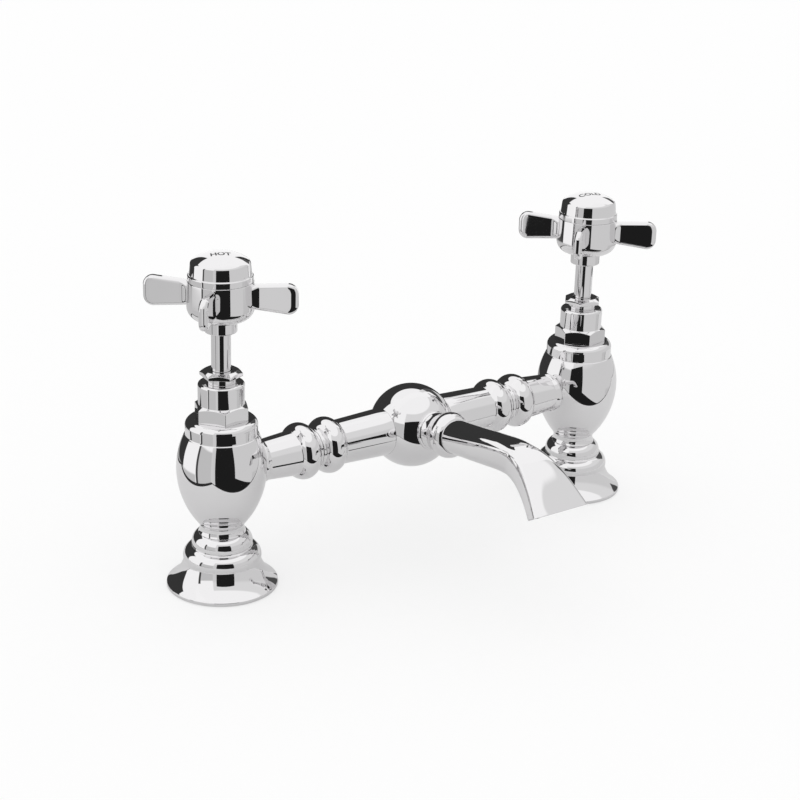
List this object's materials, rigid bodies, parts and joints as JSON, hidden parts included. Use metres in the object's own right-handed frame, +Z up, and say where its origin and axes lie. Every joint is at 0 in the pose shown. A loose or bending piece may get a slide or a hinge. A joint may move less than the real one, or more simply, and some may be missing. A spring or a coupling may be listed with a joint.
{
  "type": "bridge basin mixer",
  "caption": "Chrome bridge basin mixer: crosshead screw-down taps on turned pedestals, a beaded bridge with a ball in the middle and a fixed flared spout.",
  "frame": {"origin": "on the deck under the feet, midway between the two tap-hole centres", "axes": "+X along the bridge from the hot tap to the cold tap, -Y the way the spout points, +Z up"},
  "size_m": [0.2498, 0.1332, 0.1495],
  "materials": {
    "chrome": "polished chrome plate on brass",
    "brass": "turned, bare",
    "rubber": "moulded, matt",
    "fibre": "stamped red vulcanised fibre"
  },
  "bodies": {
    "mixer": {"hot_base_washer": "rubber", "hot_foot": "chrome", "hot_foot_seal": "rubber", "hot_body": "chrome", "hot_bonnet_washer": "fibre", "hot_bonnet": "chrome", "hot_gland_packing": "rubber", "hot_gland_nut": "chrome", "hot_bridge_arm": "chrome", "hot_port_seal": "rubber", "hot_joint_seal": "rubber", "hot_bridge_tube": "chrome", "cold_base_washer": "rubber", "cold_foot": "chrome", "cold_foot_seal": "rubber", "cold_body": "chrome", "cold_bonnet_washer": "fibre", "cold_bonnet": "chrome", "cold_gland_packing": "rubber", "cold_gland_nut": "chrome", "cold_bridge_arm": "chrome", "cold_port_seal": "rubber", "cold_joint_seal": "rubber", "cold_bridge_tube": "chrome", "bridge_ball": "chrome", "spout_collar": "chrome", "spout_seal": "rubber", "spout": "chrome"},
    "hot_valve": {"hot_jumper": "brass", "hot_tap_washer": "rubber", "hot_washer_nut": "brass"},
    "hot_spindle": {"hot_spindle": "chrome", "hot_handle": "chrome", "hot_handle_screw": "brass", "hot_index_cap": "chrome"},
    "cold_valve": {"cold_jumper": "brass", "cold_tap_washer": "rubber", "cold_washer_nut": "brass"},
    "cold_spindle": {"cold_spindle": "chrome", "cold_handle": "chrome", "cold_handle_screw": "brass", "cold_index_cap": "chrome"}
  },
  "joints": [
    {"name": "hot_lift", "type": "slide", "parent": "mixer", "child": "hot_valve", "axis": [0, 0, 1], "range_m": [0, 0.005]},
    {"name": "hot_turn", "type": "hinge", "parent": "hot_valve", "child": "hot_spindle", "pos_m": [-0.1, 0, 0.1153], "axis": [0, 0, 1], "range_deg": [0, 900]},
    {"name": "cold_lift", "type": "slide", "parent": "mixer", "child": "cold_valve", "axis": [0, 0, 1], "range_m": [0, 0.005]},
    {"name": "cold_turn", "type": "hinge", "parent": "cold_valve", "child": "cold_spindle", "pos_m": [0.1, 0, 0.1153], "axis": [0, 0, 1], "range_deg": [0, 900]}
  ],
  "couplings": [
    {"joint": "hot_turn", "follows": "hot_lift", "rad_per_m": 3141.6},
    {"joint": "cold_turn", "follows": "cold_lift", "rad_per_m": 3141.6}
  ]
}
